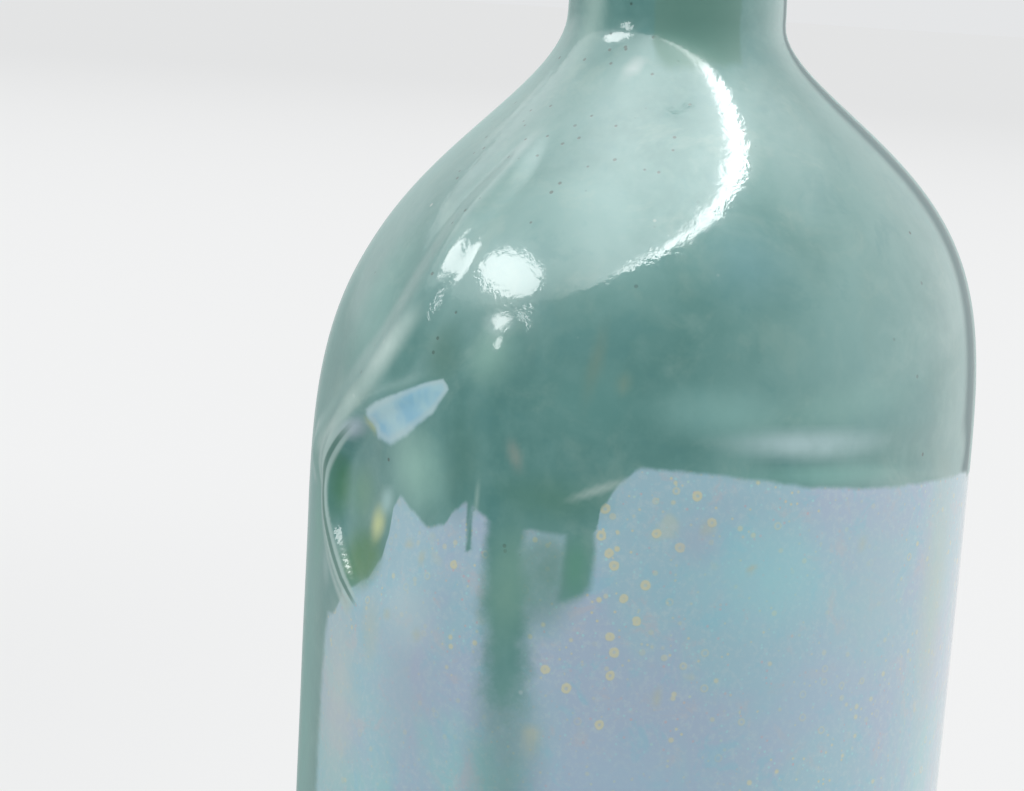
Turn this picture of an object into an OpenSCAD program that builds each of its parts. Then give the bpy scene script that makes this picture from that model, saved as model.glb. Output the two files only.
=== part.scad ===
// Hand-blown cylinder bottle of aqua glass whose shoulder has slumped and folded in
// on one side, with an applied brandy lip and a tapered cork.
// Millimetres, +Z up. The origin is the centre of the ring that the bottle stands on.
// The folded side faces -Y; angles are measured from -Y, positive towards +X.

/* [Body] */
// Outside radius of the body where the shoulder starts
body_r = 42.2; // [38:0.1:48]
// How much smaller the radius is at the base than at the shoulder
mould_taper = 1.8; // [0:0.1:3]
// Height at which the body ends and the shoulder starts
body_h = 133; // [100:1:170]
// Thickness of the glass in the body
body_wall = 3.6; // [2.5:0.1:4.5]

/* [Base] */
// Radius of the rounded heel
heel_r = 4.5; // [2:0.1:6]
// Radius of the rounded corner inside, above the heel
inner_heel_r = 5; // [2:0.1:6]
// Thickness of the glass above the resting ring
base_t = 5.5; // [3:0.1:9]
// Radius of the hollow pushed up into the base
kick_r = 28; // [20:0.5:29]
// Height of that hollow
kick_h = 19; // [8:0.5:26]
// How pointed the hollow is: 1 is a bell, more is a flatter dome
kick_ease = 1.25; // [1:0.05:1.8]
// Radius of the scar that the pontil rod left
pontil_r = 8; // [5:0.5:12]
// Thickness of that scar's ridge
pontil_ridge = 1.6; // [0.8:0.1:2.4]

/* [Shoulder] */
// Height of the shoulder, from the body to the neck
shoulder_h = 63; // [45:1:75]
// How long the shoulder stays wide before it falls in to the neck
shoulder_ease = 1.67; // [1.4:0.01:2]
// How much higher it stands on the +X side, which slumped less
shoulder_lean = 0.26; // [0:0.02:0.4]
// How much its fall is put off half way up
shoulder_hang = 0.4; // [0:0.05:0.6]
// How far its upper part swells out on the -X side
swell_height = 0.45; // [0:0.05:1]

/* [Slumped folds] */
// How far the slumped zone reaches down the body
slump_reach = 20; // [18:1:30]
// Depth of the pocket that folded in, at its middle
pocket_depth = 1.7; // [0:0.1:2.6]
// How much deeper the pocket is at its crease than at its middle
pocket_skew = 0.3; // [0:0.05:0.6]
// Angle of the pocket's middle
pocket_angle = -50; // [-60:1:-40]
// Height of the pocket's middle above the shoulder's start
pocket_rise = 4; // [0:0.5:8]
// Width of the pocket from its middle to the crease, along the wall
pocket_near_w = 10.5; // [8:0.5:13]
// Width from its middle to the soft side
pocket_far_w = 20; // [14:0.5:26]
// Half height of the pocket
pocket_half_h = 14; // [10:0.5:16]
// Height of the rolled edge that stands along the crease
roll_height = 0.9; // [0:0.1:1.4]
// Half width of the rolled edge
roll_half_w = 3; // [2.4:0.1:4]
// Height of the soft ridge that climbs from the crease to the neck
ridge_height = 0.9; // [0:0.1:1.4]
// Half width of that ridge
ridge_half_w = 5; // [3:0.5:8]
// Depth of the valley beside the ridge
valley_depth = 0.4; // [0:0.1:1]
// Height of the bump on the valley's other side
bump_height = 0.4; // [0:0.1:1]
// Depth of the sag round the front, beside the pocket
sag_depth = 0.9; // [0:0.1:1.5]
// Depth of the shallow waist under the shoulder on the +X side
waist_depth = 0.5; // [0:0.05:1]
// Half height of that waist
waist_half_h = 4.4; // [3:0.1:7]

/* [Neck] */
// Outside radius where the neck leaves the shoulder
neck_root_r = 13.8; // [13:0.1:17]
// Outside radius of the straight part of the neck
neck_r = 12.7; // [12.4:0.1:13.6]
// Length over which the neck draws in to that radius
neck_draw = 16; // [8:1:24]
// Length of the neck, from the shoulder to its sheared end
neck_len = 53; // [46:1:75]
// How far the slump carried the neck towards +X
neck_shift = 0.9; // [0:0.1:2.4]
// Radius of the bore along the neck
bore_r = 9.4; // [8.6:0.1:9.8]

/* [Applied lip] */
// Height of the tapered collar
collar_h = 13; // [8:0.5:18]
// How far the collar stands out at its top
collar_top = 2.1; // [1.2:0.1:4]
// How far the collar stands out at its foot
collar_foot = 3.3; // [2:0.1:5]
// Height of the ring below the collar
ring_h = 3.6; // [2:0.1:6]
// How far that ring stands out
ring_out = 2.7; // [1.6:0.1:4.5]
// Depth of the groove between collar and ring
groove_depth = 1; // [0.4:0.1:1.3]
// Thickness of the glass laid over the neck's sheared end
lip_cap = 1.6; // [0.8:0.1:3]
// Radius that softens the lip's edges
lip_round = 1.1; // [0.4:0.1:1.2]

/* [Cork] */
// Length of the cork inside the neck
cork_seat = 19; // [12:0.5:28]
// Length of the cork that stands above the lip
cork_proud = 7; // [3:0.5:14]
// How much the cork tapers on the radius, top to bottom
cork_taper = 0.7; // [0.2:0.1:1.2]
// Clearance between the cork and the bore
cork_clearance = 0.05; // [0.02:0.01:0.1]
// Chamfer on the cork's edges
cork_chamfer = 0.8; // [0.3:0.1:1.5]

/* [Hidden] */

glass_colour = [0.56, 0.74, 0.72];
lip_colour = [0.50, 0.70, 0.67];
cork_colour = [0.66, 0.50, 0.34];

base_r = body_r - mould_taper;
shoulder_top = body_h + shoulder_h;
neck_top = shoulder_top + neck_len;
mouth_z = neck_top + lip_cap;
cork_foot_z = mouth_z - cork_seat;
cork_head_z = mouth_z + cork_proud;

curve_steps = 18;            // points along an eased curve
arc_steps = 8;               // points along a quarter round
joint_inset = 0.05;          // the slumped zone's ends sit this far inside the turned walls
joint_lap = 0.6;             // and reach this far into them
fine_ring = 1.5;             // height of a band of the slumped zone where it is folded
coarse_ring = 3;             // and above the folds
root_ring = 1.8;             // and at the root of the neck
inner_ring = 5;              // and on the inside
folds_foot = -12;            // height, from the shoulder's start, at which the folds begin
folds_top = 20;              // and at which they end
root_h = 14;                 // height of the neck's root, below the shoulder's top
columns = 84;                // columns round the slumped zone
column_crowding = 32;        // degrees by which the columns crowd towards the pocket
mm_per_degree = body_r * PI / 180;

// Angle and height above the shoulder's start of points along each fold.
// The rim curls round the pocket's outer side; the ridge climbs from it towards the neck.
rim_line = [[-36, 19], [-44, 17], [-52, 14], [-58.5, 10.7], [-62.7, 7], [-64.2, 4],
            [-63.5, 0.5], [-61, -3], [-57.5, -6], [-51, -10]];
ridge_line = [[-70, 7], [-62, 11], [-52, 18], [-46.5, 24], [-43.5, 31], [-41.5, 38], [-38, 44]];
valley_line = [[-40, 20], [-36, 26], [-35, 33]];
waist_line = [[2, 12.4], [20, 13.8], [45, 13.4], [76, 13]];
bump_at = [-26, 24];
bump_r = 4.5;
valley_half_w = 5;
swell_rise = 46;             // height of the swelling's middle above the shoulder's start
swell_half_h = 16;

// Share of a fall from 1 to 0 as t goes from 0 to 1, level at both ends.
function eased(t, power, hang = 0) =
    let (u = pow(t, power)) (1 + cos(180 * (u - hang * u * (1 - u)))) / 2;
function limited(v, low, high) = max(low, min(high, v));
// A smooth hill of height 1 that reaches 0 at distance 1.
function hill(d) = d >= 1 ? 0 : pow(1 - d * d, 2);
// A hill with a flatter top and a steeper side.
function mesa(d, power) = d >= 1 ? 0 : pow(1 - pow(d, power), 2);

function quarter_round(centre, r, from, to) =
    [for (i = [0:arc_steps]) let (a = from + (to - from) * i / arc_steps)
        centre + r * [cos(a), sin(a)]];

// Distance, along the wall, from a point [angle, rise] to a line of such points.
function wall_mm(p) = [p[0] * mm_per_degree, p[1]];
function to_segment(p, a, b) =
    let (along = limited((p - a) * (b - a) / ((b - a) * (b - a)), 0, 1))
    norm(p - a - along * (b - a));
function to_line(p, line) =
    min([for (i = [1:len(line) - 1]) to_segment(wall_mm(p), wall_mm(line[i - 1]), wall_mm(line[i]))]);

// How far the slump moved the wall inwards, for the whole thickness of the glass.
// The pocket's side is steep at the crease and soft towards the front.
function pocket_at(a, rise) =
    let (along = (a - pocket_angle) * mm_per_degree,
         across = along / (along < 0 ? pocket_near_w : pocket_far_w),
         d = norm([across, (rise - pocket_rise) / pocket_half_h]),
         steepness = 3 - 1.4 * across / max(d, 0.01))
    pocket_depth * mesa(d, steepness) * (1 - pocket_skew * across)
    + sag_depth * hill(norm([(a + 22) / 30, (rise - 8) / 15]));

// How far the outer skin stands out along the folds.
function rolled_at(a, rise) =
    roll_height * hill(to_line([a, rise], rim_line) / roll_half_w)
    + ridge_height * hill(to_line([a, rise], ridge_line) / ridge_half_w)
    - valley_depth * hill(to_line([a, rise], valley_line) / valley_half_w)
    + bump_height * hill(norm(wall_mm([a, rise] - bump_at)) / bump_r)
    - waist_depth * hill(to_line([a, rise], waist_line) / waist_half_h)
    + swell_height * (1 - sin(a)) / 2 * hill(abs(rise - swell_rise) / swell_half_h);

// Radius of the blown form, without folds, at a height above the shoulder's start.
function blown_radius(a, rise, at_body, at_neck) =
    rise <= 0 ? at_body + mould_taper * rise / body_h
    : at_neck + (at_body - at_neck) * eased(min(1, rise / shoulder_h),
                                            shoulder_ease + shoulder_lean * sin(a), shoulder_hang);

function shift_at(rise) =
    let (t = limited(rise / shoulder_h, 0, 1)) neck_shift * t * t * (3 - 2 * t);

function wall_point(a, rise, r) =
    [shift_at(rise) + r * sin(a), -r * cos(a), body_h + rise];

// Columns stand closer together near the pocket.
function column_angle(i) =
    let (even = 360 * i / columns - 180) even + pocket_angle - column_crowding * sin(even);
function turned(a) = a > 180 ? a - 360 : (a < -180 ? a + 360 : a);

function outer_ring(rise, inset) =
    [for (i = [0:columns - 1]) let (a = turned(column_angle(i)))
        wall_point(a, rise, blown_radius(a, rise, body_r, neck_root_r) - inset
                            - pocket_at(a, rise) + rolled_at(a, rise))];
function inner_ring_at(rise, inset) =
    [for (i = [0:columns - 1]) let (a = turned(column_angle(i)))
        wall_point(a, rise, blown_radius(a, rise, body_r - body_wall, bore_r) + inset
                            - pocket_at(a, rise))];

// Heights of the bands between low and high, each about step tall.
function bands(low, high, step) =
    let (n = max(1, round((high - low) / step))) [for (i = [0:n]) low + (high - low) * i / n];

// Turned lower body: heel, walls and the hollow pushed up into the base.
function kick(r, at) = kick_h * eased(limited(r / at, 0, 1), kick_ease);
function kick_curve(at, lift) =
    [for (i = [0:curve_steps]) let (r = at * i / curve_steps) [r, lift + kick(r, at)]];
function wall_r(z) = base_r + mould_taper * z / body_h;

module lower_body() {
    top = body_h - slump_reach;
    outside = concat(
        kick_curve(kick_r, 0),
        quarter_round([wall_r(heel_r) - heel_r, heel_r], heel_r, -90, 0),
        [[wall_r(top), top]]);
    inner_wall_r = wall_r(base_t + inner_heel_r) - body_wall;
    inside = concat(
        kick_curve(min(kick_r, inner_wall_r - inner_heel_r - 0.1), base_t),
        quarter_round([inner_wall_r - inner_heel_r, base_t + inner_heel_r], inner_heel_r, -90, 0),
        [[wall_r(top) - body_wall, top]]);
    rotate_extrude($fn = 120)
        polygon(concat(outside, [for (i = [len(inside) - 1:-1:0]) inside[i]]));
}

// Ridge left where the pontil rod was broken off, in the top of the kick.
module pontil_scar() {
    translate([0, 0, kick(pontil_r, kick_r)])
        rotate_extrude($fn = 60) translate([pontil_r, 0]) circle(d = pontil_ridge, $fn = 20);
}

// The slumped and folded zone, lofted through rings of points round the wall.
module slumped_shoulder() {
    outer_rises = concat([-slump_reach - joint_lap, -slump_reach + 1], bands(folds_foot, folds_top, fine_ring),
        bands(folds_top + coarse_ring, shoulder_h - root_h, coarse_ring),
        bands(shoulder_h - root_h + root_ring, shoulder_h, root_ring), [shoulder_h + joint_lap]);
    inner_rises = concat([-slump_reach - joint_lap], bands(-slump_reach + 1, shoulder_h, inner_ring),
        [shoulder_h + joint_lap]);
    outer = [for (rise = outer_rises) outer_ring(rise, joint_inset)];
    inner = [for (k = [len(inner_rises) - 1:-1:0]) inner_ring_at(inner_rises[k], joint_inset)];
    rings = concat(outer, inner);
    points = [for (ring = rings) each ring];
    n = columns;
    m = len(rings);
    faces = [for (k = [0:m - 1], i = [0:n - 1])
        let (a = k * n + i, b = k * n + (i + 1) % n,
             c = ((k + 1) % m) * n + (i + 1) % n, d = ((k + 1) % m) * n + i)
        each [[a, d, c], [a, c, b]]];
    polyhedron(points, faces, convexity = 6);
}

// Turned neck, drawn in from the shoulder, with the bore that the cork fits.
module neck() {
    outside = concat(
        [for (i = [0:curve_steps]) let (t = i / curve_steps)
            [neck_r + (neck_root_r - neck_r) * eased(t, 1), shoulder_top + neck_draw * t]],
        [[neck_r, neck_top]]);
    translate([neck_shift, 0, 0])
        rotate_extrude($fn = 90)
            polygon(concat(outside, [for (z = [neck_top, cork_foot_z, shoulder_top]) [bore_at(z), z]]));
}

// The bore opens a little above the cork's foot, so that the tapered cork seats in it.
function bore_at(z) = bore_r + cork_taper * max(0, z - cork_foot_z) / cork_seat;

module vessel() {
    color(glass_colour) {
        union() {
            lower_body();
            pontil_scar();
            slumped_shoulder();
            neck();
        }
    }
}

// Applied lip: a band of glass laid round the sheared neck and tooled to shape.
module applied_lip() {
    color(lip_colour)
        translate([neck_shift, 0, 0])
            rotate_extrude($fn = 90) polygon(lip_profile());
}

function lip_profile() =
    let (collar_foot_z = mouth_z - collar_h,
         ring_top_z = collar_foot_z - groove_depth,
         ring_mid_z = ring_top_z - ring_h / 2,
         ring_bulge = ring_h / 2)
    concat(
        [[neck_r, ring_top_z - ring_h]],
        [for (i = [0:arc_steps * 2]) let (a = -90 + 180 * i / (arc_steps * 2))
            [neck_r + ring_out - ring_bulge + ring_bulge * cos(a), ring_mid_z + ring_bulge * sin(a)]],
        [[neck_r + ring_out - ring_bulge - 0.2, collar_foot_z]],
        quarter_round([neck_r + collar_foot - lip_round, collar_foot_z + lip_round], lip_round, -90, 0),
        quarter_round([neck_r + collar_top - lip_round, mouth_z - lip_round], lip_round, 0, 90),
        quarter_round([bore_at(mouth_z) + lip_round, mouth_z - lip_round], lip_round, 90, 180),
        [[bore_at(neck_top), neck_top], [neck_r, neck_top]]);

// Tapered cork, seated in the bore.
module cork() {
    foot = [bore_at(cork_foot_z + cork_chamfer) - cork_clearance, cork_foot_z + cork_chamfer];
    head = [bore_at(cork_head_z - cork_chamfer) - cork_clearance, cork_head_z - cork_chamfer];
    color(cork_colour)
        translate([neck_shift, 0, 0])
            rotate_extrude($fn = 72)
                polygon([
                    [0, cork_foot_z], [foot[0] - cork_chamfer, cork_foot_z], foot,
                    head, [head[0] - cork_chamfer, cork_head_z], [0, cork_head_z]]);
}

vessel();
applied_lip();
cork();
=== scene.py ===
"""Dress the antique glass bottle: its blown vessel, applied lip and cork.

Everything is in metres in the part's own frame: +Z up, the base on z = 0 and the
folded side towards -Y. Sizes of the glass are held in millimetres, as a maker
would note them, and angles round the bottle run from -Y, positive towards +X.
"""

from __future__ import annotations

import logging
import math
from dataclasses import dataclass, field
from enum import Enum
from typing import Iterable, Sequence

import bmesh
import bpy
from mathutils import Matrix, Vector, noise

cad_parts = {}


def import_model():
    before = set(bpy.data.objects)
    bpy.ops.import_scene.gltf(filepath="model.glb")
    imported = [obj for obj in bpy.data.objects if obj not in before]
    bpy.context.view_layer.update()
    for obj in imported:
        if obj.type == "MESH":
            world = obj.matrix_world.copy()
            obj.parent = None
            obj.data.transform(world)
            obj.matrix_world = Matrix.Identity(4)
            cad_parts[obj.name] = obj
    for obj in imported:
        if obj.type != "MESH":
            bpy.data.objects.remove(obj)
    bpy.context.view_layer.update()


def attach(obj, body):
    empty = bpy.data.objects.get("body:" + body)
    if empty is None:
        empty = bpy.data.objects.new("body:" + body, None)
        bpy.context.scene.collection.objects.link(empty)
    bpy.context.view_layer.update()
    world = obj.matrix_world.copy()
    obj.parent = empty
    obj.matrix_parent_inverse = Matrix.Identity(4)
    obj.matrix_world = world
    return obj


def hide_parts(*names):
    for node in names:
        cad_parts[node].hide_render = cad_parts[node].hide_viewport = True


LOG = logging.getLogger("bottle")
MM = 0.001
Point = tuple[float, float]
Place = tuple[float, float, float]
Colour = tuple[float, float, float]


class Body(Enum):
    """The two bodies of the part that pieces ride on."""

    BOTTLE = "bottle"
    STOPPER = "stopper"


class Skin(Enum):
    """The two skins of the blown wall."""

    OUTER = "outer"
    INNER = "inner"


# --------------------------------------------------------------------------- shapes in the wall


def hill(distance: float) -> float:
    """Return a smooth hill of height 1 that reaches 0 at a distance of 1."""
    return 0.0 if distance >= 1 else (1 - distance * distance) ** 2


def mesa(distance: float, power: float = 5) -> float:
    """Return a hill with a flatter top and a steeper side."""
    return 0.0 if distance >= 1 else (1 - distance**power) ** 2


def smooth(t: float) -> float:
    """Return t eased from 0 to 1, level at both ends."""
    t = min(1.0, max(0.0, t))
    return t * t * (3 - 2 * t)


def eased(t: float, power: float, hang: float = 0.0) -> float:
    """Return the share of a fall from 1 to 0 as t goes from 0 to 1.

    Args:
        t: How far along the fall, from 0 to 1.
        power: How long it stays high before it falls.
        hang: How much the fall is put off in its middle.

    Returns:
        The share that is left.
    """
    u = min(1.0, t) ** power
    return (1 + math.cos(math.pi * (u - hang * u * (1 - u)))) / 2


@dataclass(frozen=True)
class Trail:
    """A line drawn along the wall through points of arc length and rise, in millimetres."""

    points: tuple[Point, ...]

    def rounded(self, steps: int = 4) -> "Trail":
        """Return the trail with its corners smoothed.

        Args:
            steps: Points laid between each pair of neighbours.

        Returns:
            A trail that passes through the same points.
        """
        p = self.points
        out: list[Point] = []
        for i in range(len(p) - 1):
            before, a, b, after = p[max(0, i - 1)], p[i], p[i + 1], p[min(len(p) - 1, i + 2)]
            for k in range(steps):
                t = k / steps
                out.append(
                    tuple(
                        0.5
                        * (
                            2 * a[j]
                            + (b[j] - before[j]) * t
                            + (2 * before[j] - 5 * a[j] + 4 * b[j] - after[j]) * t * t
                            + (3 * a[j] - before[j] - 3 * b[j] + after[j]) * t**3
                        )
                        for j in range(2)
                    )
                )
        return Trail(tuple(out) + (p[-1],))

    def within(self, at: Point, reach: float) -> bool:
        """Return whether a point may lie within reach of the trail, by its box alone."""
        sides = zip(at, zip(*self.points))
        return all(min(side) - reach < c < max(side) + reach for c, side in sides)

    def nearest(self, at: Point) -> tuple[float, float]:
        """Return how far a point is from the trail, and how far along the nearest place is.

        Args:
            at: The point, as arc length and rise.

        Returns:
            The distance in millimetres, negative on the trail's right-hand side, and the
            share of the trail passed, from 0 to 1.
        """
        best, along, left = math.inf, 0.0, True
        last = len(self.points) - 1
        for i in range(last):
            ax, ay = self.points[i]
            dx, dy = self.points[i + 1][0] - ax, self.points[i + 1][1] - ay
            t = ((at[0] - ax) * dx + (at[1] - ay) * dy) / (dx * dx + dy * dy)
            t = min(1.0, max(0.0, t))
            d = math.hypot(at[0] - ax - dx * t, at[1] - ay - dy * t)
            if d < best:
                best, along = d, (i + t) / last
                left = dx * (at[1] - ay) >= dy * (at[0] - ax)
        return best if left else -best, along


@dataclass(frozen=True)
class Patch:
    """A closed outline on the wall, its points given as angle and rise.

    Attributes:
        points: The outline.
        soft: How wide its edge is at the top, in millimetres.
        soft_foot: How wide its edge is at the bottom.
    """

    points: tuple[Point, ...]
    soft: float = 0.4
    soft_foot: float = 0.4

    def depth(self, at: Point, mm_per_degree: float) -> float:
        """Return how deep inside the outline a place lies, in widths of its edge.

        Args:
            at: The place, as arc length and rise in millimetres.
            mm_per_degree: Arc length of one degree.

        Returns:
            The depth, negative outside.
        """
        best, inside = math.inf, False
        line = [(angle * mm_per_degree, rise) for angle, rise in self.points]
        low, high = min(p[1] for p in line), max(p[1] for p in line)
        for (ax, ay), (bx, by) in zip(line, line[1:] + line[:1]):
            dx, dy = bx - ax, by - ay
            t = min(1.0, max(0.0, ((at[0] - ax) * dx + (at[1] - ay) * dy) / (dx * dx + dy * dy)))
            best = min(best, math.hypot(at[0] - ax - dx * t, at[1] - ay - dy * t))
            if (ay > at[1]) != (by > at[1]) and at[0] < ax + dx * (at[1] - ay) / dy:
                inside = not inside
        down = min(1.0, max(0.0, (high - at[1]) / (high - low)))
        edge = self.soft + (self.soft_foot - self.soft) * down
        return (best if inside else -best) / edge


@dataclass(frozen=True)
class Dab:
    """A soft touch of colour on the wall; some dabs paint highlights, reflections or shade.

    Attributes:
        place: Its middle, as angle and rise.
        size: Its half width and half height, in millimetres.
        colour: Its colour.
        strength: How much it covers, from 0 to 1.
        turn: Degrees by which it is turned, counter-clockwise.
    """

    place: Point
    size: Point
    colour: Colour
    strength: float = 0.8
    turn: float = 0.0

    def cover(self, at: Point, mm_per_degree: float) -> float:
        """Return how much it covers at a place, as arc length and rise in millimetres."""
        dx, dy = at[0] - self.place[0] * mm_per_degree, at[1] - self.place[1]
        if abs(dx) + abs(dy) > 1.5 * max(self.size):
            return 0.0
        c, n = math.cos(math.radians(self.turn)), math.sin(math.radians(self.turn))
        across, up = (dx * c + dy * n) / self.size[0], (dy * c - dx * n) / self.size[1]
        return self.strength * hill(math.hypot(across, up))


# --------------------------------------------------------------------------- the blown form


@dataclass(frozen=True)
class BlownForm:
    """Sizes of the blown glass, in millimetres, and the curves they make."""

    body_r: float = 42.2
    mould_taper: float = 1.8
    body_h: float = 133.0
    body_wall: float = 3.6
    heel_r: float = 4.5
    inner_heel_r: float = 5.0
    base_t: float = 5.5
    kick_r: float = 28.0
    kick_h: float = 19.0
    kick_ease: float = 1.25
    pontil_r: float = 8.0
    pontil_ridge: float = 1.6
    shoulder_h: float = 63.0
    shoulder_ease: float = 1.67
    shoulder_lean: float = 0.26
    shoulder_hang: float = 0.4
    slump_reach: float = 20.0
    neck_root_r: float = 13.8
    neck_r: float = 12.7
    neck_draw: float = 16.0
    neck_len: float = 53.0
    neck_shift: float = 0.9
    bore_r: float = 9.4
    lip_cap: float = 1.6
    cork_seat: float = 19.0
    cork_proud: float = 7.0
    cork_taper: float = 0.7
    cork_clearance: float = 0.05

    @property
    def base_r(self) -> float:
        """Outside radius of the wall at the base."""
        return self.body_r - self.mould_taper

    @property
    def shoulder_top(self) -> float:
        """Height at which the shoulder meets the neck."""
        return self.body_h + self.shoulder_h

    @property
    def neck_top(self) -> float:
        """Height of the neck's sheared end."""
        return self.shoulder_top + self.neck_len

    @property
    def mouth_z(self) -> float:
        """Height of the lip."""
        return self.neck_top + self.lip_cap

    @property
    def cork_foot_z(self) -> float:
        """Height of the cork's lower end."""
        return self.mouth_z - self.cork_seat

    @property
    def mm_per_degree(self) -> float:
        """Length along the body's wall for one degree round it."""
        return self.body_r * math.pi / 180

    def bore_at(self, z: float) -> float:
        """Return the radius of the neck's bore at a height."""
        return self.bore_r + self.cork_taper * max(0.0, z - self.cork_foot_z) / self.cork_seat

    def wall_r(self, z: float) -> float:
        """Return the body's outside radius at a height below the shoulder."""
        return self.base_r + self.mould_taper * z / self.body_h

    def kick(self, r: float) -> float:
        """Return the height of the pushed-up base at a radius."""
        return self.kick_h * eased(r / self.kick_r, self.kick_ease)

    def shift_at(self, rise: float) -> float:
        """Return how far the slump carried the wall towards +X at a height."""
        return self.neck_shift * smooth(rise / self.shoulder_h)

    def blown_radius(self, angle: float, rise: float, skin: Skin) -> float:
        """Return the radius of the form before it folded.

        Args:
            angle: Degrees from -Y, positive towards +X.
            rise: Height above the shoulder's start.
            skin: Which skin of the wall.

        Returns:
            The radius in millimetres.
        """
        outer = skin is Skin.OUTER
        at_body = self.body_r if outer else self.body_r - self.body_wall
        at_neck = self.neck_root_r if outer else self.bore_r
        if rise <= 0:
            return at_body + self.mould_taper * rise / self.body_h
        power = self.shoulder_ease + self.shoulder_lean * math.sin(math.radians(angle))
        share = eased(rise / self.shoulder_h, power, self.shoulder_hang)
        return at_neck + (at_body - at_neck) * share


@dataclass(frozen=True)
class Slump:
    """How the hot wall sagged and folded in below the shoulder."""

    form: BlownForm
    pocket_depth: float = 1.7
    pocket_skew: float = 0.3
    pocket_angle: float = -50.0
    pocket_rise: float = 4.0
    pocket_near_w: float = 10.5
    pocket_far_w: float = 20.0
    pocket_half_h: float = 14.0
    sag_depth: float = 0.9
    roll_height: float = 0.9
    roll_half_w: float = 2.0
    crease_cut: float = 0.25
    crease_half_w: float = 1.0
    ridge_height: float = 0.9
    ridge_half_w: float = 5.0
    bump_height: float = 0.4
    waist_depth: float = 0.5
    waist_half_h: float = 4.4
    swell_height: float = 0.45
    ripple: float = 0.26
    rim: Trail = field(init=False)
    ridge: Trail = field(init=False)
    waist: Trail = field(init=False)

    def __post_init__(self) -> None:
        """Lay the fold lines along the wall."""
        lines = {
            "rim": (
                (-36, 19), (-44, 17), (-52, 14), (-58.5, 10.7), (-62.7, 7),
                (-64.2, 4), (-63.5, 0.5), (-61, -3), (-57.5, -6), (-51, -10),
            ),
            "ridge": (
                (-70, 7), (-62, 11), (-52, 18), (-46.5, 24), (-43.5, 31), (-41.5, 38), (-38, 44),
            ),
            "waist": ((2, 12.4), (20, 13.8), (45, 13.4), (76, 13)),
        }
        for name, line in lines.items():
            trail = Trail(tuple(self.on_wall(*p) for p in line)).rounded()
            object.__setattr__(self, name, trail)

    def on_wall(self, angle: float, rise: float) -> Point:
        """Return arc length and rise, in millimetres, for an angle and a rise."""
        return angle * self.form.mm_per_degree, rise

    def spot(self, angle: float, rise: float) -> Place:
        """Return the place in metres of a point on the outer skin."""
        r, turn = self.radius(angle, rise, Skin.OUTER), math.radians(angle)
        x = self.form.shift_at(rise) + r * math.sin(turn)
        return x * MM, -r * math.cos(turn) * MM, (self.form.body_h + rise) * MM

    def inward(self, angle: float, rise: float) -> float:
        """Return how far the whole wall moved in.

        Args:
            angle: Degrees from -Y, positive towards +X.
            rise: Height above the shoulder's start.

        Returns:
            The depth in millimetres.
        """
        across = (angle - self.pocket_angle) * self.form.mm_per_degree
        across /= self.pocket_near_w if across < 0 else self.pocket_far_w
        up = (rise - self.pocket_rise) / self.pocket_half_h
        d = math.hypot(across, up)
        edge = 3.0 - 1.4 * across / max(d, 0.01)
        pocket = self.pocket_depth * mesa(d, edge) * (1 - self.pocket_skew * across)
        sag = self.sag_depth * hill(math.hypot((angle + 22) / 30, (rise - 8) / 15))
        return pocket + sag

    def outward(self, angle: float, rise: float) -> float:
        """Return how far the outer skin stands out along the folds, in millimetres."""
        at = self.on_wall(angle, rise)
        out = 0.0
        if self.rim.within(at, self.roll_half_w):
            d, along = self.rim.nearest(at)
            fade = min(1.0, 8 * along, 12 * (1 - along))
            out += self.roll_height * fade * hill(abs(d) / self.roll_half_w)
            out -= self.crease_cut * fade * hill(abs(d) / self.crease_half_w)
        if self.ridge.within(at, self.ridge_half_w):
            out += self.ridge_height * hill(abs(self.ridge.nearest(at)[0]) / self.ridge_half_w)
        bump = self.on_wall(-26.0, 24.0)
        out += self.bump_height * hill(math.dist(at, bump) / 4.5)
        if self.waist.within(at, self.waist_half_h):
            d, along = self.waist.nearest(at)
            fade = min(1.0, 4 * along, 5 * (1 - along))
            out -= self.waist_depth * fade * hill(abs(d) / self.waist_half_h)
        left = 0.5 - 0.5 * math.sin(math.radians(angle))
        out += self.swell_height * left * hill(abs(rise - 46) / 16)
        return out

    def radius(self, angle: float, rise: float, skin: Skin) -> float:
        """Return the folded wall's radius.

        Args:
            angle: Degrees from -Y, positive towards +X.
            rise: Height above the shoulder's start.
            skin: Which skin of the wall.

        Returns:
            The radius in millimetres.
        """
        r = self.form.blown_radius(angle, rise, skin)
        r -= self.inward(angle, rise)
        if skin is Skin.OUTER:
            r += self.outward(angle, rise)
        return r


# --------------------------------------------------------------------------- mesh making


def quarter_round(
    centre: Point, r: float, start: float, stop: float, steps: int = 8
) -> list[Point]:
    """Return points along an arc.

    Args:
        centre: Radius and height of the arc's centre.
        r: The arc's radius.
        start: Angle in degrees at which it starts.
        stop: Angle at which it ends.
        steps: Spans along it.

    Returns:
        Its points.
    """
    turns = [math.radians(start + (stop - start) * i / steps) for i in range(steps + 1)]
    return [(centre[0] + r * math.cos(a), centre[1] + r * math.sin(a)) for a in turns]


def spread(low: float, high: float, step: float) -> list[float]:
    """Return evenly spaced values from low to high, about a step apart."""
    n = max(1, round(abs(high - low) / step))
    return [low + (high - low) * i / n for i in range(n + 1)]


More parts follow.
